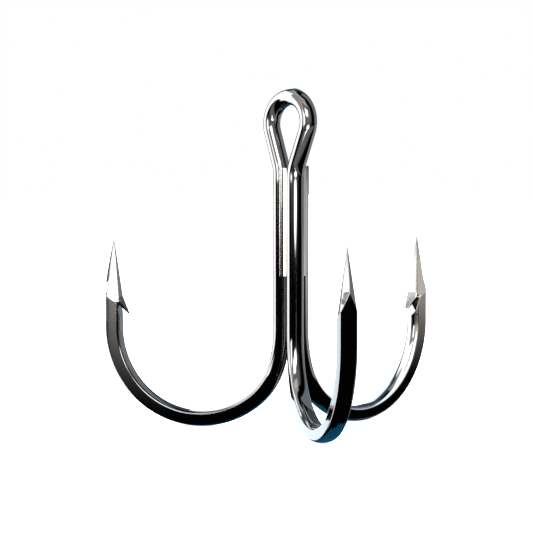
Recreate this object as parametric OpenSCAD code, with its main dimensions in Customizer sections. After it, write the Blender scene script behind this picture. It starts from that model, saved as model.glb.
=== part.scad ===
// Treble hook: three barbed hooks on one shank.
// One wire is bent double, so that its middle is the eye and its two ends are two of the hooks.
// A second, straight-shanked wire is the third hook. A filler of braze joins the three shanks.
// The origin is the middle of the eye. +Z runs up the shank, the eye's hole looks along Y,
// and the third hook points to +Y.

/* [Wire] */
// Diameter of the round wire
wire_d = 2.1; // [1.8:0.05:2.3]
// Distance from the middle of the bundle to each shank's centre line
shank_offset = 1.32; // [1.3:0.01:1.5]

/* [Eye] */
// Radius of the eye's centre line
eye_r = 3.08; // [2.8:0.02:3.4]
// Height of the eye's middle above the start of the bends
eye_height = 24.8; // [22:0.1:28]
// Angle between each side of the eye and the shank
eye_taper = 21; // [18:0.5:24]
// Radius of the two curves where the eye's sides run into the shanks
neck_r = 5; // [4:0.5:6]
// Height above the start of the bends at which the eye starts to lean
lean_height = 17.9; // [16:0.1:18]
// Lean of the eye towards the third shank
eye_lean = 1.9; // [0.5:0.1:2.5]

/* [Bend] */
// Radius of the first, easy part of the bend
bend_lead_r = 16; // [14:0.5:18]
// Turn of the first part of the bend
bend_lead_turn = 16.5; // [12:0.5:20]
// Radius of the second, tighter part of the bend
bend_heel_r = 8; // [7:0.5:9]
// Turn of the second part of the bend
bend_heel_turn = 32; // [25:1:38]
// Radius of the rest of the bend, which turns on up to the point
bend_main_r = 11; // [10:0.25:12]

/* [Forging] */
// Thickness across the flat sides
flat_thickness = 2.0; // [1.8:0.02:2.1]
// Depth of the wire at the bottom of the bend
bottom_depth = 1.9; // [1.7:0.02:2.1]
// Depth of the wire below the point
throat_depth = 2.08; // [1.8:0.02:2.2]
// Height of the rounded outer rim
rim_round = 0.38; // [0.2:0.02:0.5]
// Height of the rounded inner edge
inner_round = 0.46; // [0.3:0.02:0.6]
// Turn over which the round wire becomes the forged one
forging_turn = 40; // [20:5:60]

/* [Point] */
// Height at which grinding starts, above the start of the bends
grind_start = 3.2; // [2.8:0.1:3.5]
// Height of the sharp tip above the start of the bends
tip_height = 11.1; // [10.2:0.1:13]
// Distance that the tip leans in from the wire's centre line
tip_lean = 0.02; // [-0.4:0.01:0.4]
// Height at which the outer rim has given way to a sharp ridge
ridge_height = 5.9; // [5.6:0.1:7]
// Height over which the rim's outline curves in to the ridge
ridge_curve = 2.4; // [1:0.1:2.6]
// Height at which the side facets run out
side_height = 8.9; // [8.5:0.1:9.8]
// Width of the inner face where grinding starts
inner_face_width = 1.62; // [1.4:0.02:1.8]

/* [Barb] */
// Height of the barb's tip
barb_tip_height = 1.55; // [1:0.05:2]
// Reach of the barb's tip from the wire's inner edge
barb_reach = 0.9; // [0.6:0.05:1.2]
// Height at which the barb leaves the wire
barb_root_height = 3.0; // [2.5:0.05:3.3]
// Depth of the barb's cut into the wire
barb_cut_depth = 0.5; // [0.3:0.05:0.6]
// Width of the barb at its tip
barb_tip_width = 0.6; // [0.4:0.05:0.8]

/* [Braze] */
// Height of the filler's lower end above the start of the bends
braze_bottom = 6.45; // [5:0.05:8]
// Height of the filler's upper end above the start of the bends
braze_top = 19.4; // [18:0.05:19.5]
// Distance from the middle of the bundle to each of the filler's three faces
braze_face = 1.58; // [1.5:0.01:1.65]
// Height of the third wire's cut end above the start of the bends
cut_end_height = 19.65; // [19.5:0.05:20]

/* [Hidden] */

$fn = 48;
wire_r = wire_d / 2;
// A bent or swept length of wire differs in radius from a straight one by this much, so that where
// they join, no two round faces coincide
seat = 0.004;
// How far one length of wire reaches into the next
lap = 0.06;

// Directions of the hooks around the shank
third_hook_angle = 90;
left_hook_angle = 210;
right_hook_angle = 330;

// The double wire's shanks
leg_x = shank_offset * cos(30);
leg_y = -shank_offset * sin(30);

// The eye's tapering sides, from the eye's arc down to the shanks
side_top_x = eye_r * cos(eye_taper);
side_top_z = -eye_r * sin(eye_taper);
side_run = (side_top_x - leg_x) / sin(eye_taper);
neck_cut = neck_r * tan(eye_taper / 2);
side_length = side_run - neck_cut;
neck_z = side_top_z - side_run * cos(eye_taper) - neck_cut;

// The eye's middle is the origin, so the bundle and the bends are placed from it
lean_run = eye_height - lean_height;
bundle_y = -leg_y - lean_run * sin(eye_lean);
bend_z = -lean_height - lean_run * cos(eye_lean);

// The bend is three arcs that follow on: [radius, heading at its start, heading at its end].
// A heading of 0 runs down the shank, 90 runs outwards and 180 runs up to the point.
heel_heading = bend_lead_turn;
main_heading = bend_lead_turn + bend_heel_turn;
bend_arcs = [
    [bend_lead_r, 0, heel_heading],
    [bend_heel_r, heel_heading, main_heading],
    [bend_main_r, main_heading, 180]
];
heading_step = 7.5;

function clamp(value, low, high) = min(max(value, low), high);
function blend(a, b, t) = a * (1 - t) + b * t;
function total(list, i = 0) = i < len(list) ? list[i] + total(list, i + 1) : 0;

// Centre line of the bend at one heading, as distance from the bundle and height
function bend_reach(heading) = shank_offset + total([
    for (arc = bend_arcs) arc[0] * (cos(arc[1]) - cos(clamp(heading, arc[1], arc[2])))
]);
function bend_height(heading) = total([
    for (arc = bend_arcs) arc[0] * (sin(arc[1]) - sin(clamp(heading, arc[1], arc[2])))
]);
point_reach = bend_reach(180);

// A section is a ring of [depth, width] points that starts at the outer rim and goes round.
// Half of it has three stretches: the rim, the flat side and the inner edge.
stretch_steps = 4;
ring_size = 6 * stretch_steps;

function round_ring(radius) = [
    for (i = [0 : ring_size - 1]) radius * [cos(360 * i / ring_size), sin(360 * i / ring_size)]
];

// Half of a ring, from the outer rim to the middle of the inner edge, is enough: the other half mirrors it
function whole_ring(half) = concat(half, [for (i = [len(half) - 2 : -1 : 1]) [half[i][0], -half[i][1]]]);

function forged_ring(depth, thickness) = whole_ring(concat(
    [for (i = [0 : stretch_steps]) let (a = 90 * i / stretch_steps)
        [depth / 2 - rim_round * (1 - cos(a)), thickness / 2 * sin(a)]],
    [for (i = [1 : stretch_steps]) let (t = i / stretch_steps)
        [blend(depth / 2 - rim_round, inner_round - depth / 2, t), thickness / 2]],
    [for (i = [1 : stretch_steps]) let (a = 90 * i / stretch_steps)
        [inner_round * (1 - sin(a)) - depth / 2, thickness / 2 * cos(a)]]
));

// A ground section has a sharp outer ridge, two side edges and a flat inner face
function ground_ring(ridge, side, side_width, inner, inner_width) = whole_ring(concat(
    [for (i = [0 : stretch_steps]) blend([ridge, 0], [side, side_width], i / stretch_steps)],
    [for (i = [1 : stretch_steps]) blend([side, side_width], [inner, inner_width], i / stretch_steps)],
    [for (i = [1 : stretch_steps]) blend([inner, inner_width], [inner, 0], i / stretch_steps)]
));

// Puts a section on the hook's plane, square to the heading
function place_ring(ring, reach, height, heading) = [
    for (p = ring) [reach - p[0] * cos(heading), p[1], height - p[0] * sin(heading)]
];

function bend_depth(heading) = blend(bottom_depth, throat_depth, clamp((heading - 90) / 90, 0, 1));
function bend_ring(heading) = place_ring(
    blend(
        round_ring(wire_r - seat),
        forged_ring(bend_depth(heading), flat_thickness),
        clamp(heading / forging_turn, 0, 1)
    ),
    bend_reach(heading),
    bend_height(heading),
    heading
);

// The inner face is ground flat, and tapers evenly to the tip
inner_grind_depth = 0.08;
grind_length = tip_height - grind_start;
function inner_line(height) = blend(
    inner_grind_depth - throat_depth / 2,
    -tip_lean,
    (height - grind_start) / grind_length
);
function inner_half_width(height) = inner_face_width / 2 * (tip_height - height) / grind_length;

// The outer edge follows the rim, curves in, and then runs straight to the tip as a ridge
function ridge_run(past_ridge, curve) =
    past_ridge < -curve ? 0 :
    past_ridge > curve ? past_ridge :
    (past_ridge + curve) * (past_ridge + curve) / (4 * curve);
function ridge_line(height) = blend(
    throat_depth / 2,
    -tip_lean,
    ridge_run(height - ridge_height, ridge_curve / 2) / (tip_height - ridge_height)
);

// The edge between the two facets of each side runs from the flat side in to the inner face
side_start = grind_start + 0.6;
side_start_depth = 0.5;
side_start_width = 0.92;
function side_share(height) = clamp((height - side_start) / (side_height - side_start), 0, 1);

function point_ring(height) = place_ring(
    ground_ring(
        ridge_line(height),
        blend(side_start_depth, inner_line(side_height), side_share(height)),
        blend(side_start_width, inner_half_width(side_height), side_share(height)),
        inner_line(height),
        inner_half_width(height)
    ),
    point_reach,
    height,
    180
);

// The tip is blunt by a few hundredths of a millimetre, as a real one is
tip_r = 0.03;
function tip_ring() = place_ring(round_ring(tip_r), point_reach - tip_lean, tip_height, 180);
function throat_ring(height) = place_ring(
    forged_ring(throat_depth, flat_thickness),
    point_reach,
    height,
    180
);

// Heights of the rings up the point
ridge_steps = 4;
throat_end = grind_start - 0.2;
point_start = side_start + 0.1;
ridge_heights = [
    for (i = [0 : ridge_steps]) ridge_height + ridge_curve * (i / ridge_steps - 0.5)
];

hook_rings = concat(
    [place_ring(round_ring(wire_r - seat), shank_offset, lap, 0)],
    [for (heading = [0 : heading_step : 180]) bend_ring(heading)],
    [throat_ring(throat_end), point_ring(point_start)],
    [for (height = ridge_heights) point_ring(height)],
    [point_ring(side_height), tip_ring()]
);

// A solid skin over a stack of rings
module skin(rings) {
    size = len(rings[0]);
    last = len(rings) - 1;
    polyhedron(
        points = [for (ring = rings) each ring],
        faces = concat(
            [[for (i = [0 : size - 1]) i]],
            [for (k = [0 : last - 1], i = [0 : size - 1])
                [k * size + i, (k + 1) * size + i, k * size + (i + 1) % size]],
            [for (k = [0 : last - 1], i = [0 : size - 1])
                [k * size + (i + 1) % size, (k + 1) * size + i, (k + 1) * size + (i + 1) % size]],
            [[for (i = [size - 1 : -1 : 0]) last * size + i]]
        )
    );
}

// The barb's outline in the hook's plane, as [reach, height]. Its shoulder is let into the ground face.
inner_edge = point_reach - throat_depth / 2;
barb_shoulder_depth = 0.3;
barb_shoulder_height = grind_start + 1.1;
barb_shoulder = [inner_edge + barb_shoulder_depth, barb_shoulder_height];
barb_tip = [inner_edge - barb_reach, barb_tip_height];
barb_root = [inner_edge + barb_cut_depth, barb_root_height];

// Half widths of the barb, a little less than those of the faces that it leaves
barb_shoulder_half = inner_face_width / 2 - 0.16;
barb_root_half = flat_thickness / 2 - 0.06;

// The cut starts just off the wire's inner edge and slants in to the barb's root
cut_foot_gap = 0.08;
cut_foot_height = 0.7;
cut_foot = [inner_edge - cut_foot_gap, cut_foot_height];
cut_reach = 1;

// One side of the barb: its shoulder in the ground face, its tip and its root in the wire
function barb_side(side) = [
    [barb_shoulder[0], side * barb_shoulder_half, barb_shoulder[1]],
    [barb_tip[0], side * barb_tip_width / 2, barb_tip[1]],
    [barb_root[0] + lap, side * barb_root_half, barb_root[1] + lap]
];

module barb() {
    skin([barb_side(1), barb_side(-1)]);
}

// The slanting cut that lifts the barb off the wire
module barb_cut() {
    cut_back = barb_tip[0] - cut_reach;
    rotate([90, 0, 0])
        linear_extrude(height = 2 * flat_thickness, center = true)
            polygon([barb_root, [cut_back, barb_root[1]], [cut_back, cut_foot[1]], cut_foot]);
}

// One hook, from the start of its bend to its tip, in the XZ plane
module hook() {
    difference() {
        skin(hook_rings);
        barb_cut();
    }
    barb();
}

// Places a hook on the bundle
module hook_at(angle) {
    translate([0, bundle_y, bend_z])
        rotate([0, 0, angle])
            hook();
}

// A round length of wire from the origin up +Z
module rod(length) {
    cylinder(h = length, r = wire_r);
}

// Facets to a whole turn of a curved length of wire
curve_fn = 96;

// A curved length of wire that leaves the origin along +Z and turns towards +X
module curved_rod(radius, turn) {
    translate([radius, 0, 0])
        rotate([90, 0, 0])
            rotate([0, 0, 180 - turn])
                rotate_extrude(angle = turn, $fn = curve_fn)
                    translate([radius, 0])
                        circle(r = wire_r + seat);
}

// The eye's arc, in the XZ plane around the eye's middle, from side to side over the top
module eye_arc() {
    rotate([90, 0, 0])
        rotate([0, 0, -eye_taper])
            rotate_extrude(angle = 180 + 2 * eye_taper, $fn = curve_fn)
                translate([eye_r, 0])
                    circle(r = wire_r + seat);
}

// One side of the eye, with its neck and the leg down to where the eye starts to lean
module eye_side() {
    // The straight side
    translate([side_top_x, 0, side_top_z])
        rotate([0, 180 + eye_taper, 0])
            translate([0, 0, -lap])
                rod(side_length + 2 * lap);
    // The neck's curve
    translate([leg_x, 0, neck_z])
        curved_rod(neck_r, eye_taper);
    // The leg, with a ball where the wire starts to lean
    translate([leg_x, 0, -lean_run]) {
        rod(neck_z + lean_run + lap);
        sphere(r = wire_r + seat);
    }
}

module eye() {
    rotate([-eye_lean, 0, 0]) {
        eye_arc();
        eye_side();
        mirror([1, 0, 0])
            eye_side();
    }
}

// The two straight shanks of the double wire
module double_shanks() {
    for (side = [-1, 1])
        translate([side * leg_x, bundle_y + leg_y, bend_z])
            rod(lean_height);
}

module double_hook_wire() {
    color([0.24, 0.25, 0.27]) {
        eye();
        double_shanks();
        hook_at(left_hook_angle);
        hook_at(right_hook_angle);
    }
}

module single_hook_wire() {
    color([0.24, 0.25, 0.27]) {
        translate([0, bundle_y + shank_offset, bend_z])
            rod(cut_end_height);
        hook_at(third_hook_angle);
    }
}

// The filler's outline: three short faces, whose ends run inside the shanks and are cut away there
filler_half = 0.62;
module filler_outline() {
    difference() {
        polygon([
            for (turn = [0, 120, 240], end = [-filler_half, filler_half])
                [end * cos(turn) + braze_face * sin(turn), end * sin(turn) - braze_face * cos(turn)]
        ]);
        for (angle = [third_hook_angle, left_hook_angle, right_hook_angle])
            rotate([0, 0, angle])
                translate([shank_offset, 0])
                    circle(r = wire_r);
    }
}

module braze_filler() {
    color([0.80, 0.78, 0.74])
        translate([0, bundle_y, bend_z + braze_bottom])
            linear_extrude(height = braze_top - braze_bottom)
                filler_outline();
}

double_hook_wire();
single_hook_wire();
braze_filler();
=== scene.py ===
"""A treble hook of polished black nickel, standing on its three bends in soft studio light.

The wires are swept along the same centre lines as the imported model, but with the detail of the real thing:
forged flats, ground points with crisp edges, lifted barbs, a cut wire end and hollow braze.
Sizes are in metres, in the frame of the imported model.
"""

import math

import bmesh
import bpy
import numpy as np
from mathutils import Matrix, Vector


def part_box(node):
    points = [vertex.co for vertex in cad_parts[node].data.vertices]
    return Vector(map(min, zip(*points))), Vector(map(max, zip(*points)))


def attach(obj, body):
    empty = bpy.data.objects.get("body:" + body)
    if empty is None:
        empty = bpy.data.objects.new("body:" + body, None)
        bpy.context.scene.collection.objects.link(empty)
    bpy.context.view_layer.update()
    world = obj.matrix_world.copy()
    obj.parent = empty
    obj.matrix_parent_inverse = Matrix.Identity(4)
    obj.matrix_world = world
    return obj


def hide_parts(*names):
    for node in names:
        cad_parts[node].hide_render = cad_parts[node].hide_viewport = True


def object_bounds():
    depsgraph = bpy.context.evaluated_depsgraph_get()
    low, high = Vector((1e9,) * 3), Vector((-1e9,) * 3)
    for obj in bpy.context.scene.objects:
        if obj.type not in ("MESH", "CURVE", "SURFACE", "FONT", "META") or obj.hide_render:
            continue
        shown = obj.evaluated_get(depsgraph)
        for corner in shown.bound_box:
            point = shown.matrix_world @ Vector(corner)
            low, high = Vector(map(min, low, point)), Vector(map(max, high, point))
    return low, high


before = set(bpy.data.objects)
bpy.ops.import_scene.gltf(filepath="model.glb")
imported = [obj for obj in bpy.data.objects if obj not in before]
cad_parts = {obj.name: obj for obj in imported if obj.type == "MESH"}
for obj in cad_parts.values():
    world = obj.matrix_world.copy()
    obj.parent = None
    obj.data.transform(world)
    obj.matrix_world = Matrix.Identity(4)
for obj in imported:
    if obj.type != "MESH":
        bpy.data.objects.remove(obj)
cad_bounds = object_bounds()

MM = 0.001

# Wire and bundle
SHANK_OFFSET = 1.32 * MM
CUT_END_HEIGHT = 19.65 * MM

# Eye
EYE_R = 3.08 * MM
EYE_TAPER = math.radians(21)
EYE_LEAN = math.radians(1.9)
NECK_R = 5 * MM
LEAN_HEIGHT = 17.9 * MM

# Bend, as arcs of (radius, turn). A heading of 0 runs down the shank and 180 degrees runs up to the point.
BEND_ARCS = (
    (16 * MM, math.radians(16.5)),
    (8 * MM, math.radians(32)),
    (11 * MM, math.radians(131.5)),
)

# Forged section
FLAT_THICKNESS = 2.0 * MM
BOTTOM_DEPTH = 1.9 * MM
THROAT_DEPTH = 2.08 * MM
RIM_ROUND = 0.38 * MM
INNER_ROUND = 0.46 * MM
FORGING_TURN = math.radians(40)
# Steps along each of a half section's four stretches
STRETCH_STEPS = (9, 7, 6, 6)
# Places on a half outline where its last stretch starts, in the shank and at the foot of the barb's cut
EVEN_KNOT = 2.5
CUT_FOOT_KNOT = 2.98

# Ground point. Heights are above the start of the bends. Over the ridge's curve, the outer edge bends in.
FACET_START = 3.0 * MM
SHOULDER_HEIGHT = 3.7 * MM
RIDGE_HEIGHT = 5.9 * MM
RIDGE_CURVE = 2.4 * MM
TIP_HEIGHT = 11.1 * MM
INNER_BASE = (-0.94 * MM, 0.84 * MM)
TIP_R = 0.012 * MM
EDGE_SOFTNESS = 0.035 * MM
# Place on the outline, and curve, where the side facet runs out on the forged flat
SHOULDER_KNOT = 1.05
SHOULDER_BEND = 0.8
# Most of a stretch, and of the flank below the ridge, that a softened edge may take up
MOST_SOFTENED = 0.25
MOST_RIDGE_SOFTENED = 0.3
# Least part of the rim that is left before the ridge counts as an edge
LEAST_RIM = 0.02
# Least distance between two rows of points, where the surface steps
LEDGE = 0.0005 * MM
# Shorter than this, a stretch has no length to divide by
NO_LENGTH = 1e-9

# Barb
CUT_FOOT_HEIGHT = 0.75 * MM
CUT_DEPTH = 0.45 * MM
BARB_REACH = 0.9 * MM
BARB_TIP_HEIGHT = 1.55 * MM
BARB_TIP_HALF = 0.3 * MM
BARB_HINGE_HEIGHT = 3.66 * MM
BARB_ROOT_HALF = 0.96 * MM
# How far the barb reaches into the wire behind its root, and its fill behind the hinge
BARB_HOLD = 0.05 * MM
BARB_FILL = 0.4 * MM
BARB_FILL_INSET = 0.15 * MM
BARB_EDGE_STEPS = 2

# Third shank's cut end. Its face is divided by rings, as shares of the wire's radius.
CUT_CHAMFER = 0.06 * MM
CHAMFER_STEPS = 6
CUT_FACE_RINGS = (0.85, 0.6, 0.3)
CHAMFER_GAP = 1.5 * CUT_CHAMFER

# Braze
BRAZE_HALF = 0.62 * MM
BRAZE_HOLLOW = 0.17 * MM
BRAZE_END_ROUND = 0.08 * MM
# Halfway round each end's edge: its height from the end, and its inset as a share of the rounding
BRAZE_RIM_HEIGHT = 0.02 * MM
BRAZE_RIM_INSET = 0.4
# The braze's sides stay this far inside the wires, so that the two surfaces never coincide
BRAZE_BURIED = 0.1 * MM
BRAZE_SIDE_TURN = math.radians(64)
BRAZE_STEPS = 12

# Steps along the wires
RIDGE_STEPS = 34
FACET_STEPS = 20
SHOULDER_STEPS = 14
CUT_STEPS = 20
FOOT_STEPS = 6
BEND_STEPS = 120
SHANK_STEPS = 24
THIRD_SHANK_STEPS = 26
EYE_LEG_STEPS = 9
NECK_STEPS = 12
EYE_SIDE_STEPS = 9
EYE_TOP_STEPS = 48

# Length at the tips and cut ends over which painted shade darkens the plating
END_SHADE_REACH = 3.6 * MM

# Turn of the double wire's shanks, round the bundle, from its left and right sides
SHANK_TURN = math.radians(30)
# Lowest and highest stations of the double wire's shanks, as shares of the height where they start to lean
SHANK_LOW = 0.04
SHANK_HIGH = 0.98

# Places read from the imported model
single_low, single_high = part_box("single_hook_wire")
braze_low, braze_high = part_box("braze_filler")
WIRE_R = (single_high.x - single_low.x) / 2
BUNDLE_Y = single_low.y + WIRE_R - SHANK_OFFSET
BEND_Z = single_high.z - CUT_END_HEIGHT
HOOK_ANGLES = {"third": math.radians(90), "left": math.radians(210), "right": math.radians(330)}


# Geometry helpers

def lerp(a, b, t):
    return a + (b - a) * t


def clamp(value, low=0.0, high=1.0):
    return min(max(value, low), high)


def bend_place(heading):
    """Centre line of the bend at one heading: distance from the bundle, and height above the bend's start."""
    reach, height, start = SHANK_OFFSET, 0.0, 0.0
    for radius, turn in BEND_ARCS:
        end = clamp(heading, start, start + turn)
        reach += radius * (math.cos(start) - math.cos(end))
        height += radius * (math.sin(start) - math.sin(end))
        start += turn
    return reach, height


POINT_REACH = bend_place(math.pi)[0]


# Sections. A half outline runs from the outer rim, at 0, to the middle of the inner edge, at 3:
# the rim up to 1, the flat side up to 2 and the inner edge up to 3. Its points are (depth, width).

def round_outline(place):
    angle = place * math.pi / 3
    return np.array((WIRE_R * math.cos(angle), WIRE_R * math.sin(angle)))


def forged_outline(place, depth=THROAT_DEPTH):
    half = FLAT_THICKNESS / 2
    quarter = math.pi / 2
    if place <= 1:
        angle = quarter * place
        return np.array((depth / 2 - RIM_ROUND * (1 - math.cos(angle)), half * math.sin(angle)))
    if place <= 2:
        return np.array((lerp(depth / 2 - RIM_ROUND, INNER_ROUND - depth / 2, place - 1), half))
    angle = quarter * (place - 2)
    return np.array((INNER_ROUND * (1 - math.sin(angle)) - depth / 2, half * math.cos(angle)))


def half_section(stretches):
    """Points of a half section made of four stretches, each a function of 0 to 1, with a softened corner
    wherever two of them meet. Returns the points and how much each one lies on an edge."""
    points, edges = [], []
    for index, (stretch, steps) in enumerate(zip(stretches, STRETCH_STEPS)):
        start, end = stretch(0.0), stretch(1.0)
        length = max(np.linalg.norm(end - start), NO_LENGTH)
        soft = min(EDGE_SOFTNESS / length, MOST_SOFTENED)
        low = soft if index else 0.0
        high = 1 - soft if index < 3 else 1.0
        part = [stretch(lerp(low, high, step / steps)) for step in range(steps + 1)]
        if index:
            points.append((points[-1] + 2 * start + part[0]) / 4)
            edges[-1] = 0.5
            edges.append(1.0)
        points += part
        edges += [0.5 if index else 0.0] + [0.0] * steps
    return points, edges


def along(outline, start, end):
    """A stretch that follows an outline from one place on it to another."""
    return lambda t: outline(lerp(start, end, t))


def straight(start, end):
    """A stretch in a straight line."""
    return lambda t: lerp(start, end, t)


def whole_section(stretches):
    """A half section and its mirror image, as one closed ring."""
    points, edges = half_section(stretches)
    mirrored = [p * (1, -1) for p in points[-2:0:-1]]
    return np.array(points + mirrored), np.array(edges + edges[-2:0:-1])


def plain_section(outline, last_knot=EVEN_KNOT):
    """A section that follows one outline all the way, so that none of its corners is sharp."""
    knots = (0.0, 1.0, 2.0, last_knot, 3.0)
    points, edges = whole_section([along(outline, knots[i], knots[i + 1]) for i in range(4)])
    return points, edges * 0


def bend_section(heading):
    """The round wire becomes the forged one, and its points draw together towards the barb's cut."""
    forged = clamp(heading / FORGING_TURN)
    forged = forged * forged * (3 - 2 * forged)
    upward = clamp(heading / (math.pi / 2) - 1)
    depth = lerp(BOTTOM_DEPTH, THROAT_DEPTH, upward)
    last_knot = lerp(EVEN_KNOT, CUT_FOOT_KNOT, upward)
    return plain_section(
        lambda place: lerp(round_outline(place), forged_outline(place, depth), forged), last_knot
    )


def cut_section(height):
    """The forged section below the point, with the slanting cut that lifted the barb."""
    share = (height - CUT_FOOT_HEIGHT) / (FACET_START - CUT_FOOT_HEIGHT)
    depth = CUT_DEPTH * share
    knot = min(2 + math.asin(1 - depth / INNER_ROUND) / (math.pi / 2), CUT_FOOT_KNOT)
    corner = forged_outline(knot)
    return whole_section([
        along(forged_outline, 0.0, 1.0),
        along(forged_outline, 1.0, 2.0),
        along(forged_outline, 2.0, knot),
        straight(corner, corner * (1, 0)),
    ])


def inner_corner(height):
    """Edge of the flat inner face, which tapers evenly to the tip."""
    share = (height - FACET_START) / (TIP_HEIGHT - FACET_START)
    return lerp(np.array(INNER_BASE), np.array((0.0, TIP_R)), clamp(share))


def ridge_drop(height):
    """How far the outer edge has come in from the rim."""
    past, curve = height - RIDGE_HEIGHT, RIDGE_CURVE / 2
    if past < -curve:
        return 0.0
    run = past if past > curve else (past + curve) ** 2 / (4 * curve)
    return run * (THROAT_DEPTH / 2 - TIP_R) / (TIP_HEIGHT - RIDGE_HEIGHT)


def ground_section(height):
    """A section of the ground point: outer rim or ridge, two facets a side, and the flat inner face."""
    inner = inner_corner(height)
    middle = inner * (1, 0)
    if height < SHOULDER_HEIGHT:
        # The side facet runs out on the forged flat along a curve
        share = (height - FACET_START) / (SHOULDER_HEIGHT - FACET_START)
        knot = lerp(2.0, SHOULDER_KNOT, share ** SHOULDER_BEND)
        return whole_section([
            along(forged_outline, 0.0, 1.0),
            along(forged_outline, 1.0, knot),
            straight(forged_outline(knot), inner),
            straight(inner, middle),
        ])
    share = (height - SHOULDER_HEIGHT) / (TIP_HEIGHT - SHOULDER_HEIGHT)
    side = lerp(forged_outline(SHOULDER_KNOT), np.array((LEDGE, TIP_R)), share)
    drop = np.array((ridge_drop(height), 0.0))
    ridge = forged_outline(0.0) - drop
    # What is left of the rim narrows evenly, up to the ridge
    left = max(RIDGE_HEIGHT - height, 0.0) / (RIDGE_HEIGHT - SHOULDER_HEIGHT)
    knot = math.asin(left) / (math.pi / 2)
    if knot > LEAST_RIM:
        flank = forged_outline(knot) - drop
        rim = along(lambda place: forged_outline(place) - drop, 0.0, knot)
    else:
        softened = min(EDGE_SOFTNESS / np.linalg.norm(side - ridge), MOST_RIDGE_SOFTENED)
        flank = lerp(ridge, side, softened)
        rim = straight(ridge, flank)
    return whole_section([rim, straight(flank, side), straight(side, inner), straight(inner, middle)])


# Stations along a wire. Each is (centre, depth direction, width direction, section, edge marks).

UP = np.array((0.0, 0.0, 1.0))
BUNDLE_BASE = np.array((0.0, BUNDLE_Y, BEND_Z))


def hook_directions(angle):
    """Away from the bundle, and sideways."""
    return (
        np.array((math.cos(angle), math.sin(angle), 0.0)),
        np.array((-math.sin(angle), math.cos(angle), 0.0)),
    )


def hook_stations(angle, mirrored):
    """A hook from the tip of its point down and round to the start of its bend."""
    out, across = hook_directions(angle)
    if mirrored:
        across = -across
    stations = []

    def add(reach, height, heading, section):
        depth_way = -math.cos(heading) * out - math.sin(heading) * UP
        stations.append((BUNDLE_BASE + reach * out + height * UP, depth_way, across, *section))

    heights = [TIP_HEIGHT - LEDGE]
    for low, high, steps in (
        (RIDGE_HEIGHT, TIP_HEIGHT - EDGE_SOFTNESS, RIDGE_STEPS),
        (SHOULDER_HEIGHT, RIDGE_HEIGHT, FACET_STEPS),
        (FACET_START + LEDGE, SHOULDER_HEIGHT, SHOULDER_STEPS),
    ):
        heights += [lerp(high, low, step / steps) for step in range(steps)]
    for height in heights + [FACET_START + LEDGE]:
        add(POINT_REACH, height, math.pi, ground_section(height))
    for step in range(CUT_STEPS, -1, -1):
        # Closer together towards the foot, where the cut's outline is round
        height = lerp(CUT_FOOT_HEIGHT, FACET_START, (step / CUT_STEPS) ** 2)
        add(POINT_REACH, height, math.pi, cut_section(height))
    for step in range(1, FOOT_STEPS):
        height = lerp(CUT_FOOT_HEIGHT, 0.0, step / FOOT_STEPS)
        add(POINT_REACH, height, math.pi, plain_section(forged_outline, CUT_FOOT_KNOT))
    for step in range(BEND_STEPS + 1):
        heading = math.pi * (1 - step / BEND_STEPS)
        reach, height = bend_place(heading)
        add(reach, height, heading, bend_section(heading))
    return stations


def rod_stations(start, end, steps, angle):
    """A straight length of one shank, going up, with the hook's own directions."""
    out, across = hook_directions(angle)
    section = plain_section(round_outline)
    return [(lerp(start, end, step / steps), -out, across, *section) for step in range(1, steps + 1)]


def eye_path():
    """Half of the eye, from its leg up to its top, as (x, z, turn)."""
    leg_x = SHANK_OFFSET * math.cos(SHANK_TURN)
    side_top = np.array((EYE_R * math.cos(EYE_TAPER), -EYE_R * math.sin(EYE_TAPER)))
    side_run = (side_top[0] - leg_x) / math.sin(EYE_TAPER)
    neck_cut = NECK_R * math.tan(EYE_TAPER / 2)
    neck_z = side_top[1] - side_run * math.cos(EYE_TAPER) - neck_cut
    lean_z = (BUNDLE_Y - SHANK_OFFSET * math.sin(SHANK_TURN)) / math.sin(EYE_LEAN)
    path = []
    for step in range(EYE_LEG_STEPS):
        path.append((leg_x, lerp(lean_z, neck_z, step / EYE_LEG_STEPS), 0.0))
    for step in range(NECK_STEPS + 1):
        turn = EYE_TAPER * step / NECK_STEPS
        path.append((leg_x + NECK_R * (1 - math.cos(turn)), neck_z + NECK_R * math.sin(turn), turn))
    neck_top = path[-1]
    for step in range(1, EYE_SIDE_STEPS):
        t = step / EYE_SIDE_STEPS
        path.append((lerp(neck_top[0], side_top[0], t), lerp(neck_top[1], side_top[1], t), EYE_TAPER))
    for step in range(EYE_TOP_STEPS + 1):
        turn = EYE_TAPER - (EYE_TAPER + math.pi / 2) * step / EYE_TOP_STEPS
        path.append((EYE_R * math.cos(turn), -EYE_R * math.sin(turn), turn))
    return path


def lean(v):
    """Turns a place or direction with the eye's lean."""
    cos, sin = math.cos(EYE_LEAN), math.sin(EYE_LEAN)
    return np.array((v[0], cos * v[1] + sin * v[2], -sin * v[1] + cos * v[2]))


def eye_stations():
    """The eye from the left shank's lean, over the top, to the right shank's lean."""
    path = eye_path()
    section = plain_section(round_outline)
    flat = np.array((0.0, 1.0, 0.0))
    stations = []
    # The eye is symmetric, so its right half is the left one mirrored and turned round
    for side, points in ((-1, path), (1, path[-2::-1])):
        for x, z, turn in points:
            inward = np.array((-side * math.cos(turn), 0.0, math.sin(turn)))
            depth_way = math.cos(SHANK_TURN) * inward + math.sin(SHANK_TURN) * flat
            width_way = math.sin(SHANK_TURN) * inward - math.cos(SHANK_TURN) * flat
            place = np.array((side * x, 0.0, z))
            stations.append((lean(place), lean(depth_way), lean(width_way), *section))
    return stations


# Pieces

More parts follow.
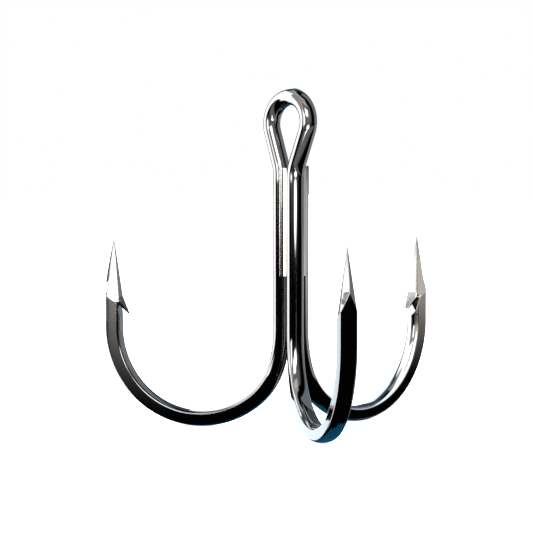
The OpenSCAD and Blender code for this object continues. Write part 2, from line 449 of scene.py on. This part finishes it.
def smooth_piece(name, bm):
    """Turns finished faces into an object with smooth shading."""
    bmesh.ops.recalc_face_normals(bm, faces=bm.faces)
    mesh = bpy.data.meshes.new(name)
    bm.to_mesh(mesh)
    bm.free()
    mesh.polygons.foreach_set("use_smooth", [True] * len(mesh.polygons))
    piece = bpy.data.objects.new(name, mesh)
    bpy.context.scene.collection.objects.link(piece)
    return piece


def join_rings(bm, lower, upper):
    """Faces between two rings of points, one above the other."""
    for i in range(len(lower)):
        j = (i + 1) % len(lower)
        bm.faces.new((lower[i], lower[j], upper[j], upper[i]))


def sweep(name, stations, start_tip, end_tip):
    """A closed skin over the stations, with each end drawn to a point."""
    bm = bmesh.new()
    place_layer = bm.verts.layers.float_vector.new("wire_place")
    edge_layer = bm.verts.layers.float.new("wire_edge")
    end_shade_layer = bm.verts.layers.float.new("end_shade_mask")
    rings = []
    length = 0.0
    last = None
    for centre, depth_way, width_way, section, edges in stations:
        if last is not None:
            length += np.linalg.norm(centre - last)
        last = centre
        to_end = min(np.linalg.norm(centre - start_tip), np.linalg.norm(centre - end_tip))
        ring = []
        for point, edge in zip(section, edges):
            vert = bm.verts.new(centre + point[0] * depth_way + point[1] * width_way)
            vert[place_layer] = (point[0], point[1], length)
            vert[edge_layer] = edge
            # Painted shade: how much the plating darkens here, near a tip or the cut end
            vert[end_shade_layer] = max(0.0, 1 - to_end / END_SHADE_REACH)
            ring.append(vert)
        rings.append(ring)
    for lower, upper in zip(rings, rings[1:]):
        join_rings(bm, lower, upper)
    for ring, tip in ((rings[0], start_tip), (rings[-1], end_tip)):
        vert = bm.verts.new(tip)
        vert[place_layer] = ring[0][place_layer]
        vert[end_shade_layer] = 1.0
        for i in range(len(ring)):
            bm.faces.new((ring[i], ring[(i + 1) % len(ring)], vert))
    return smooth_piece(name, bm)


def hook_tip(angle):
    return BUNDLE_BASE + POINT_REACH * hook_directions(angle)[0] + TIP_HEIGHT * UP


def shank_foot(angle):
    return BUNDLE_BASE + SHANK_OFFSET * hook_directions(angle)[0]


def double_hook_wire():
    """Up one shank from the left hook's tip, round the eye, and down the other to the right hook's tip."""
    left, right = HOOK_ANGLES["left"], HOOK_ANGLES["right"]
    foot = shank_foot(left)
    stations = hook_stations(left, False)
    stations += rod_stations(foot, foot + SHANK_HIGH * LEAN_HEIGHT * UP, SHANK_STEPS, left)
    stations += eye_stations()
    down = hook_stations(right, True)
    foot = shank_foot(right)
    depth_way, width_way = down[-1][1:3]
    section = plain_section(round_outline)
    stations += [
        (foot + share * LEAN_HEIGHT * UP, depth_way, width_way, *section)
        for share in np.linspace(SHANK_HIGH, SHANK_LOW, SHANK_STEPS)
    ]
    stations += reversed(down)
    return sweep("double_hook", stations, hook_tip(left), hook_tip(right))


def single_hook_wire():
    """The third hook, from its tip up to its shank's flat end, which has a small rounded edge."""
    angle = HOOK_ANGLES["third"]
    foot = shank_foot(angle)
    top = foot + CUT_END_HEIGHT * UP
    stations = hook_stations(angle, False)
    stations += rod_stations(foot, top - CHAMFER_GAP * UP, THIRD_SHANK_STEPS, angle)
    depth_way, width_way, section, edges = stations[-1][1:]
    for step in range(CHAMFER_STEPS + 1):
        turn = math.pi / 2 * step / CHAMFER_STEPS
        scale = 1 - CUT_CHAMFER * (1 - math.cos(turn)) / WIRE_R
        centre = top - CUT_CHAMFER * (1 - math.sin(turn)) * UP
        stations.append((centre, depth_way, width_way, section * scale, edges))
    for scale in CUT_FACE_RINGS:
        stations.append((top, depth_way, width_way, section * scale, edges))
    return sweep("single_hook", stations, hook_tip(angle), top)


def braze_outline():
    """Three hollow faces, with sides that are buried in the wires between them."""
    face = BUNDLE_Y - braze_low.y
    buried = WIRE_R - BRAZE_BURIED
    outline = []
    for groove in range(3):
        turn = 2 * math.pi / 3 * groove
        for step in range(BRAZE_STEPS + 1):
            t = step / BRAZE_STEPS * 2 - 1
            x, y = t * BRAZE_HALF, BRAZE_HOLLOW * (1 - t * t) - face
            outline.append((x * math.cos(turn) - y * math.sin(turn), x * math.sin(turn) + y * math.cos(turn)))
        wire_turn = turn - SHANK_TURN
        wire_x, wire_y = SHANK_OFFSET * math.cos(wire_turn), SHANK_OFFSET * math.sin(wire_turn)
        for step in range(1, BRAZE_STEPS):
            side_turn = wire_turn + math.pi + BRAZE_SIDE_TURN - 2 * BRAZE_SIDE_TURN * step / BRAZE_STEPS
            outline.append((wire_x + buried * math.cos(side_turn), wire_y + buried * math.sin(side_turn)))
    return outline


def braze():
    """Three lengths of braze, joined in the middle, that fill the grooves between the shanks."""
    face = BUNDLE_Y - braze_low.y
    outline = braze_outline()
    bm = bmesh.new()
    rings = []
    for height, inset in (
        (braze_low.z, BRAZE_END_ROUND),
        (braze_low.z + BRAZE_RIM_HEIGHT, BRAZE_RIM_INSET * BRAZE_END_ROUND),
        (braze_low.z + BRAZE_END_ROUND, 0.0),
        (lerp(braze_low.z, braze_high.z, 0.5), 0.0),
        (braze_high.z - BRAZE_END_ROUND, 0.0),
        (braze_high.z - BRAZE_RIM_HEIGHT, BRAZE_RIM_INSET * BRAZE_END_ROUND),
        (braze_high.z, BRAZE_END_ROUND),
    ):
        scale = 1 - inset / face
        rings.append([bm.verts.new((x * scale, BUNDLE_Y + y * scale, height)) for x, y in outline])
    for lower, upper in zip(rings, rings[1:]):
        join_rings(bm, lower, upper)
    bm.faces.new(rings[0])
    bm.faces.new(rings[-1])
    return smooth_piece("braze", bm)


def barb(angle):
    """The lifted sliver, from its hinge on the inner face to its tip, with slightly softened edges."""
    out, across = hook_directions(angle)
    hinge_depth, hinge_half = inner_corner(BARB_HINGE_HEIGHT)
    half_depth = THROAT_DEPTH / 2
    profile = (
        # Depth, height and half width of the fill in the wire, the hinge, the tip and the root
        (hinge_depth + BARB_FILL, BARB_HINGE_HEIGHT + BARB_FILL, hinge_half - BARB_FILL_INSET),
        (hinge_depth, BARB_HINGE_HEIGHT, hinge_half),
        (-half_depth - BARB_REACH, BARB_TIP_HEIGHT, BARB_TIP_HALF),
        (CUT_DEPTH - half_depth + BARB_HOLD, FACET_START + BARB_HOLD, BARB_ROOT_HALF),
    )
    bm = bmesh.new()
    sides = []
    for side in (1, -1):
        sides.append([
            bm.verts.new(BUNDLE_BASE + (POINT_REACH + depth) * out + side * half * across + height * UP)
            for depth, height, half in profile
        ])
    for side in sides:
        bm.faces.new((side[0], side[1], side[3]))
        bm.faces.new((side[1], side[2], side[3]))
    for i in range(4):
        j = (i + 1) % 4
        bm.faces.new((sides[0][j], sides[0][i], sides[1][i], sides[1][j]))
    bmesh.ops.recalc_face_normals(bm, faces=bm.faces)
    bmesh.ops.bevel(
        bm, geom=bm.edges[:], offset=EDGE_SOFTNESS, segments=BARB_EDGE_STEPS, profile=0.5, affect="EDGES"
    )
    return smooth_piece("barb", bm)


def apply_modifiers(piece):
    """Replaces a piece's mesh with the result of its modifiers."""
    bpy.context.view_layer.update()
    evaluated = piece.evaluated_get(bpy.context.evaluated_depsgraph_get())
    mesh = bpy.data.meshes.new_from_object(evaluated)
    piece.modifiers.clear()
    piece.data = mesh


def join_barbs(piece, angles):
    """Joins a barb to each hook of a wire, as one skin."""
    for angle in angles:
        part = barb(angle)
        union = piece.modifiers.new("barb", "BOOLEAN")
        union.operation = "UNION"
        union.solver = "EXACT"
        union.object = part
        apply_modifiers(piece)
        bpy.data.objects.remove(part)


# How far a large flat face decides the shading of its corners, out of 100
FLAT_FACE_WEIGHT = 80

double_wire = double_hook_wire()
single_wire = single_hook_wire()
join_barbs(double_wire, (HOOK_ANGLES["left"], HOOK_ANGLES["right"]))
join_barbs(single_wire, (HOOK_ANGLES["third"],))
filler = braze()

for piece in (double_wire, single_wire, filler):
    weighted = piece.modifiers.new("normals", "WEIGHTED_NORMAL")
    weighted.weight = FLAT_FACE_WEIGHT
    apply_modifiers(piece)


# Shader nodes. Each function adds one node to a tree and returns its output. What is fed to it is a number,
# a vector, a colour or another node's output.

def feed(tree, socket, value):
    if isinstance(value, bpy.types.NodeSocket):
        tree.links.new(value, socket)
    elif socket.type == "RGBA":
        socket.default_value = (*value, 1.0)
    else:
        socket.default_value = value


def maths(tree, operation, *values):
    node = tree.nodes.new("ShaderNodeMath")
    node.operation = operation
    for socket, value in zip(node.inputs, values):
        feed(tree, socket, value)
    return node.outputs["Value"]


def vector_maths(tree, operation, first, second):
    node = tree.nodes.new("ShaderNodeVectorMath")
    node.operation = operation
    feed(tree, node.inputs[0], first)
    feed(tree, node.inputs[1], second)
    return node.outputs["Value" if operation == "DOT_PRODUCT" else "Vector"]


def remap(tree, value, start, end, low=0.0, high=1.0, smooth=False):
    """Carries start..end over to low..high, and holds the result between them."""
    node = tree.nodes.new("ShaderNodeMapRange")
    node.interpolation_type = "SMOOTHSTEP" if smooth else "LINEAR"
    node.inputs["From Min"].default_value = start
    node.inputs["From Max"].default_value = end
    node.inputs["To Min"].default_value = low
    node.inputs["To Max"].default_value = high
    feed(tree, node.inputs["Value"], value)
    return node.outputs["Result"]


def blend(tree, share, first, second):
    """Mixes two colours."""
    node = tree.nodes.new("ShaderNodeMix")
    node.data_type = "RGBA"
    feed(tree, node.inputs["Factor"], share)
    feed(tree, node.inputs["A"], first)
    feed(tree, node.inputs["B"], second)
    return node.outputs["Result"]


def noise(tree, place, scale, detail=3.0):
    """Noise with so many cells a metre."""
    node = tree.nodes.new("ShaderNodeTexNoise")
    node.inputs["Scale"].default_value = scale
    node.inputs["Detail"].default_value = detail
    feed(tree, node.inputs["Vector"], place)
    return node.outputs["Fac"]


def attribute(tree, name, output):
    node = tree.nodes.new("ShaderNodeAttribute")
    node.attribute_name = name
    return node.outputs[output]


def bump(tree, height, depth):
    node = tree.nodes.new("ShaderNodeBump")
    node.inputs["Strength"].default_value = 1.0
    node.inputs["Distance"].default_value = depth
    feed(tree, node.inputs["Height"], height)
    return node.outputs["Normal"]


# Materials

COOL_PLATING = (0.275, 0.28, 0.295)
WARM_PLATING = (0.325, 0.315, 0.30)
# Colour of the painted shade at the tips and the cut end
END_SHADE_COLOUR = (0.05, 0.05, 0.055)
# Paler colour painted on the sharp edges as an outline standing in for their reflections, over their wear
EDGE_WEAR_AND_OUTLINE = (0.40, 0.39, 0.38)
PATCH_CELLS = 350.0
SPECK_CELLS = 9000.0
DRAWN_LINE_CELLS = 9000.0
DRAWN_LINE_STRETCH = (1.0, 1.0, 0.03)
DRAWN_LINE_DEPTH = 0.0006 * MM

LIGHT_BRAZE = (0.84, 0.80, 0.77)
DARK_BRAZE = (0.70, 0.665, 0.64)
PIT_COLOUR = (0.30, 0.27, 0.25)
RIPPLE_CELLS = 700.0
RIPPLE_STRETCH = (1.0, 1.0, 0.25)
RIPPLE_DEPTH = 0.002 * MM
PIT_CELLS = 5000.0

DARK_PAPER = (0.88, 0.88, 0.88)
LIGHT_PAPER = (0.93, 0.93, 0.93)
PAPER_GLOW = 0.92
TOOTH_CELLS = 1500.0
TOOTH_DEPTH = 0.02 * MM


def new_material(name):
    material = bpy.data.materials.new(name)
    material.use_nodes = True
    tree = material.node_tree
    place = tree.nodes.new("ShaderNodeTexCoord").outputs["Object"]
    return material, tree, tree.nodes["Principled BSDF"].inputs, place


def black_nickel():
    """Mirror-bright dark plating over drawn wire: warm and cool patches, faint lines along the wire,
    painted shade that darkens the tips and the cut end, and sharp edges that are duller from wear and paler
    from a painted outline."""
    material, tree, shader, place = new_material("black_nickel")
    patches = noise(tree, place, PATCH_CELLS)
    specks = noise(tree, place, SPECK_CELLS, detail=4.0)
    # Depth, width and length along the wire, so that the lines follow its bends
    wire_place = attribute(tree, "wire_place", "Vector")
    drawn = vector_maths(tree, "MULTIPLY", wire_place, DRAWN_LINE_STRETCH)
    lines = noise(tree, drawn, DRAWN_LINE_CELLS, detail=2.0)
    patchy = remap(tree, patches, 0.3, 0.7, 0.8, 1.0)
    # Painted shade, in patches: the plating darkens towards each tip and the cut end
    painted_end_shade = maths(tree, "MULTIPLY", attribute(tree, "end_shade_mask", "Fac"), patchy)
    broken = remap(tree, specks, 0.4, 0.6, 0.1, 0.8)
    # Sharp edges: rougher from wear, and paler from a painted outline in place of their reflections
    wear_and_outline = maths(tree, "MULTIPLY", attribute(tree, "wire_edge", "Fac"), broken)
    plating = blend(tree, painted_end_shade, blend(tree, patches, COOL_PLATING, WARM_PLATING), END_SHADE_COLOUR)
    fine_rough = remap(tree, lines, 0.3, 0.7, 0.035, 0.075)
    patch_rough = remap(tree, patches, 0.55, 0.75, 0.0, 0.03)
    worn_rough = maths(tree, "MULTIPLY", wear_and_outline, 0.6)
    rough = maths(tree, "ADD", maths(tree, "ADD", fine_rough, patch_rough), worn_rough)
    feed(tree, shader["Metallic"], 1.0)
    feed(tree, shader["Base Color"], blend(tree, wear_and_outline, plating, EDGE_WEAR_AND_OUTLINE))
    feed(tree, shader["Roughness"], rough)
    feed(tree, shader["Normal"], bump(tree, lines, DRAWN_LINE_DEPTH))
    return material


def bright_braze():
    """Silvery braze that has flowed down the grooves, with slow ripples and a few small dull pits."""
    material, tree, shader, place = new_material("bright_braze")
    ripples = noise(tree, vector_maths(tree, "MULTIPLY", place, RIPPLE_STRETCH), RIPPLE_CELLS, detail=1.0)
    pits = remap(tree, noise(tree, place, PIT_CELLS, detail=2.0), 0.64, 0.74)
    metal = blend(tree, ripples, LIGHT_BRAZE, DARK_BRAZE)
    ripple_rough = remap(tree, ripples, 0.3, 0.7, 0.07, 0.16)
    pit_rough = maths(tree, "MULTIPLY", pits, 0.25)
    feed(tree, shader["Metallic"], 1.0)
    feed(tree, shader["Base Color"], blend(tree, pits, metal, PIT_COLOUR))
    feed(tree, shader["Roughness"], maths(tree, "ADD", ripple_rough, pit_rough))
    feed(tree, shader["Normal"], bump(tree, ripples, RIPPLE_DEPTH))
    return material


def floor_paper():
    """Near-white studio paper with a faint tooth. It glows a little, so that it stays white."""
    material, tree, shader, place = new_material("floor_paper")
    tooth = noise(tree, place, TOOTH_CELLS)
    feed(tree, shader["Base Color"], blend(tree, tooth, DARK_PAPER, LIGHT_PAPER))
    feed(tree, shader["Roughness"], 0.9)
    feed(tree, shader["Specular IOR Level"], 0.0)
    feed(tree, shader["Emission Color"], (1.0, 1.0, 1.0))
    feed(tree, shader["Emission Strength"], PAPER_GLOW)
    feed(tree, shader["Normal"], bump(tree, tooth, TOOTH_DEPTH))
    return material


nickel = black_nickel()
braze_finish = bright_braze()
for piece, material, slot, node in (
    (double_wire, nickel, "hook_wire", "double_hook_wire"),
    (single_wire, nickel, "hook_wire", "single_hook_wire"),
    (filler, braze_finish, "braze", "braze_filler"),
):
    piece.data.materials.clear()
    piece.data.materials.append(material)
    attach(piece, "root")
    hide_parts(node)


# Studio

VIEW_AZIMUTH = math.radians(45.5)
VIEW_ELEVATION = math.radians(2.72)
VIEW_DISTANCE = 231 * MM
# Middle of the picture, from the bundle's foot: to the right and up
VIEW_RIGHT = -3.08 * MM
VIEW_UP = 7.6 * MM
# Width of what the picture shows, at the hook
VIEW_WIDTH = 63.96 * MM
to_camera = Vector((
    math.sin(VIEW_AZIMUTH) * math.cos(VIEW_ELEVATION),
    -math.cos(VIEW_AZIMUTH) * math.cos(VIEW_ELEVATION),
    math.sin(VIEW_ELEVATION),
))
to_right = Vector((math.cos(VIEW_AZIMUTH), math.sin(VIEW_AZIMUTH), 0))
to_top = to_camera.cross(to_right)
ahead = Vector((to_camera.x, to_camera.y, 0)).normalized()
target = Vector((0, BUNDLE_Y, BEND_Z)) + VIEW_RIGHT * to_right + VIEW_UP * to_top
camera_data = bpy.data.cameras.new("camera")
camera_data.lens = camera_data.sensor_width * VIEW_DISTANCE / VIEW_WIDTH
camera_data.clip_start = 10 * MM
camera = bpy.data.objects.new("camera", camera_data)
camera.location = target + to_camera * VIEW_DISTANCE
camera.rotation_euler = to_camera.to_track_quat("Z", "Y").to_euler()
bpy.context.scene.collection.objects.link(camera)
bpy.context.scene.camera = camera

WHITE = (1.0, 1.0, 1.0)
WARM = (1.0, 0.95, 0.88)
PALE_BLUE = (0.82, 0.93, 1.0)
GREY_BLUE = (0.55, 0.76, 1.0)
DEEP_BLUE = (0.04, 0.45, 0.85)

# Far light around the hook, as (azimuths, elevations, softness of the left, right, lower and upper edges,
# colour, strength), with angles in degrees. Azimuth 0 is behind the camera, 90 is to its right and -90 to
# its left. Later ones cover earlier ones.
FAR_LIGHTS = (
    # Cool grey room to the right
    ((88, 150), (-1.6, 95), (8, 10, 0.8, 1), PALE_BLUE, 0.5),
    # Overhead light
    ((-150, 10), (46, 72), (10, 20, 8, 8), WHITE, 1.0),
    # Warm wall to the left of the camera, above the points
    ((-96, -50), (5, 45), (4, 12, 6, 8), WARM, 0.8),
    # Small windows to the left of the camera, which whiten the middle point and mark the eye's left side
    ((-66, -44), (1, 16), (4, 4, 3, 3), WHITE, 3.8),
    ((-30, 0), (17, 33), (8, 8, 6, 6), WHITE, 6.0),
    # Low light at the back right
    ((97, 160), (-34, -1.6), (4, 8, 6, 0.8), WHITE, 0.6),
    # Blue-grey behind the hook, which edges its outline, and paler further round
    ((-181, -120), (-12, 60), (0.1, 4, 5, 10), GREY_BLUE, 0.25),
    ((150, 181), (-12, 60), (8, 0.1, 5, 10), GREY_BLUE, 0.2),
    ((-181, -148), (-14, 40), (0.1, 5, 5, 10), PALE_BLUE, 2.6),
    # Dark blue below, behind the hook
    ((140, 181), (-70, -14), (8, 0.1, 6, 6), DEEP_BLUE, 0.30),
    ((-181, -150), (-70, -14), (0.1, 8, 6, 6), DEEP_BLUE, 0.30),
    # Big key softbox to the left
    ((-128, -85), (-32, 46), (3, 4, 10, 8), WHITE, 3.6),
)
DARK_ROOM = (0.002, 0.002, 0.003)


def window(tree, value, span, low_soft, high_soft):
    """1 where value is inside the span, with soft edges."""
    low, high = span
    rise = remap(tree, value, low - low_soft / 2, low + low_soft / 2, smooth=True)
    fall = remap(tree, value, high - high_soft / 2, high + high_soft / 2, smooth=True)
    return maths(tree, "SUBTRACT", rise, fall)


def build_world():
    """The hook mirrors the far lights, and the camera sees plain white."""
    world = bpy.data.worlds.new("studio")
    bpy.context.scene.world = world
    world.use_nodes = True
    tree = world.node_tree
    direction = tree.nodes.new("ShaderNodeTexCoord").outputs["Generated"]
    right = vector_maths(tree, "DOT_PRODUCT", direction, to_right)
    front = vector_maths(tree, "DOT_PRODUCT", direction, ahead)
    height = vector_maths(tree, "DOT_PRODUCT", direction, (0, 0, 1))
    azimuth = maths(tree, "DEGREES", maths(tree, "ARCTAN2", right, front))
    elevation = maths(tree, "DEGREES", maths(tree, "ARCSINE", height))
    colour = DARK_ROOM
    for azimuths, elevations, softness, tint, strength in FAR_LIGHTS:
        across = window(tree, azimuth, azimuths, softness[0], softness[1])
        upright = window(tree, elevation, elevations, softness[2], softness[3])
        mask = maths(tree, "MULTIPLY", across, upright)
        colour = blend(tree, mask, colour, tuple(channel * strength for channel in tint))
    mirrored = tree.nodes["Background"]
    feed(tree, mirrored.inputs["Color"], colour)
    seen = tree.nodes.new("ShaderNodeBackground")
    feed(tree, seen.inputs["Color"], WHITE)
    choose = tree.nodes.new("ShaderNodeMixShader")
    feed(tree, choose.inputs["Fac"], tree.nodes.new("ShaderNodeLightPath").outputs["Is Camera Ray"])
    feed(tree, choose.inputs[1], mirrored.outputs["Background"])
    feed(tree, choose.inputs[2], seen.outputs["Background"])
    feed(tree, tree.nodes["World Output"].inputs["Surface"], choose.outputs["Shader"])


build_world()
bpy.context.scene.view_settings.view_transform = "Standard"


# Near panels. Places and sizes are in millimetres, from the middle of the bundle at the height of the bends'
# bottoms: to the camera's right, out towards the camera, and up. A panel lights only what it faces.
# Its edges fade over these shares of its size: left, right, lower and upper. An oval one has one share, of
# its radius. No two panels are in one plane, because where they overlap one would hide the other.
NEAR_PANELS = (
    # Warm wall in front of the eye and the upper shank
    dict(name="front_wall", centre=(-20, 62, 70), faces=(0, -1, 0), size=(190, 116),
         edges=(0.1, 0.3, 0.34, 0.1), tint=WARM, radiance=0.42),
    # Sloping card under the eye, which the upright wires can't see
    dict(name="bounce_card", centre=(0, 64, 17.2), faces=(0, 0.196, 0.98), size=(220, 114),
         edges=(0.2, 0.3, 0.05, 0.3), tint=WARM, radiance=0.36),
    # Low oval light that marks the middle shank, and a second, under the eye, that marks its right side
    dict(name="oval_light", centre=(2, 59, 26), faces=(0, -1, 0), size=(44, 16),
         edges=(0.9,), tint=WHITE, radiance=6.0),
    dict(name="eye_light", centre=(-8, 48, 21), faces=(0, 0.196, 0.98), size=(16, 50),
         edges=(0.9,), tint=WHITE, radiance=6.0),
    # Angled cards that only the left hook sees
    dict(name="left_card", centre=(-36, 20, 18), faces=(-0.574, -0.819, 0), size=(26, 40),
         edges=(0.1, 0.1, 0.6, 0.1), tint=WARM, radiance=1.0),
    dict(name="left_point_card", centre=(-27.5, 14.5, 25), faces=(-0.574, -0.819, 0), size=(16, 16),
         edges=(0.1, 0.1, 0.1, 0.1), tint=WHITE, radiance=6.0),
    # Beige wall, white ceiling and brown side wall that only the third hook sees
    dict(name="third_wall", centre=(6, 70, 32), faces=(0, -1, 0), size=(230, 66),
         edges=(0.2, 0.25, 0.3, 0.1), tint=WARM, radiance=1.7, only_for="single_hook"),
    dict(name="third_ceiling", centre=(0, 50, 70), faces=(0, 0, -1), size=(260, 150),
         edges=(0.1, 0.1, 0.1, 0.1), tint=WHITE, radiance=3.6, only_for="single_hook"),
    dict(name="third_side", centre=(80, -10, 30), faces=(-1, 0, 0), size=(60, 64),
         edges=(0.2, 0.2, 0.4, 0.2), tint=WARM, radiance=1.5, only_for="single_hook"),
)


def studio_place(right, out, up):
    return right * MM * to_right + out * MM * ahead + Vector((0, 0, up * MM))


def fade_edges(light, centre, across, upright, edges):
    """Dims a panel towards its edges, by the place on it."""
    light.use_nodes = True
    tree = light.node_tree

    def share(axis, length):
        """Place along one axis, from -1 to 1."""
        place = tree.nodes.new("ShaderNodeNewGeometry").outputs["Position"]
        offset = vector_maths(tree, "SUBTRACT", place, centre)
        return vector_maths(tree, "DOT_PRODUCT", offset, axis * 2 / length)

    def ramp(value, dark, bright):
        """From 0 at dark to 1 at bright, whichever of them is greater."""
        if dark < bright:
            return remap(tree, value, dark, bright, smooth=True)
        return remap(tree, value, bright, dark, 1.0, 0.0, smooth=True)

    right, up = share(across, light.size), share(upright, light.size_y)
    if len(edges) == 1:
        right_squared, up_squared = maths(tree, "MULTIPLY", right, right), maths(tree, "MULTIPLY", up, up)
        bright = ramp(maths(tree, "ADD", right_squared, up_squared), 1, 1 - edges[0])
    else:
        sides = maths(tree, "MULTIPLY", ramp(right, -1, 2 * edges[0] - 1), ramp(right, 1, 1 - 2 * edges[1]))
        ends = maths(tree, "MULTIPLY", ramp(up, -1, 2 * edges[2] - 1), ramp(up, 1, 1 - 2 * edges[3]))
        bright = maths(tree, "MULTIPLY", sides, ends)
    feed(tree, tree.nodes["Emission"].inputs["Strength"], bright)


# Upward share of its direction above which a panel counts as level
LEVEL = 0.7


def near_panel(name, centre, faces, size, edges, tint, radiance, only_for=None):
    light = bpy.data.lights.new(name, "AREA")
    light.shape = "RECTANGLE"
    light.size = size[0] * MM
    light.size_y = size[1] * MM
    light.energy = radiance * math.pi * light.size * light.size_y
    light.color = tint
    place = Vector((0, BUNDLE_Y, cad_bounds[0][2])) + studio_place(*centre)
    normal = studio_place(*faces).normalized()
    # A level panel's upper edge is the one towards the camera
    upright = studio_place(0, 0, 1) if abs(normal.z) < LEVEL else studio_place(0, 1, 0)
    across = normal.cross(upright).normalized()
    upright = across.cross(normal)
    fade_edges(light, place, across, upright, edges)
    panel = bpy.data.objects.new(name, light)
    panel.matrix_world = Matrix.Translation(place) @ Matrix((across, upright, -normal)).transposed().to_4x4()
    panel.visible_camera = False
    bpy.context.scene.collection.objects.link(panel)
    if only_for:
        receivers = bpy.data.collections.new(name + "_receivers")
        receivers.objects.link(bpy.data.objects[only_for])
        panel.light_linking.receiver_collection = receivers


for panel in NEAR_PANELS:
    near_panel(**panel)


FLOOR_SIZE = 4
FLOOR_CELLS = 8
FLOOR_LIGHT_POWER = 4.6
FLOOR_LIGHT_SPREAD = math.radians(120)


def floor_and_its_light():
    """White paper under the hook, and its light. The hook mirrors neither."""
    bpy.ops.mesh.primitive_grid_add(
        x_subdivisions=FLOOR_CELLS,
        y_subdivisions=FLOOR_CELLS,
        size=FLOOR_SIZE,
        location=(0, 0, cad_bounds[0][2]),
    )
    floor = bpy.context.object
    floor.name = "floor"
    floor.visible_glossy = False
    floor.data.materials.append(floor_paper())
    light = bpy.data.lights.new("floor_light", "SUN")
    light.energy = FLOOR_LIGHT_POWER
    light.angle = FLOOR_LIGHT_SPREAD
    sun = bpy.data.objects.new("floor_light", light)
    sun.visible_glossy = False
    bpy.context.scene.collection.objects.link(sun)


floor_and_its_light()
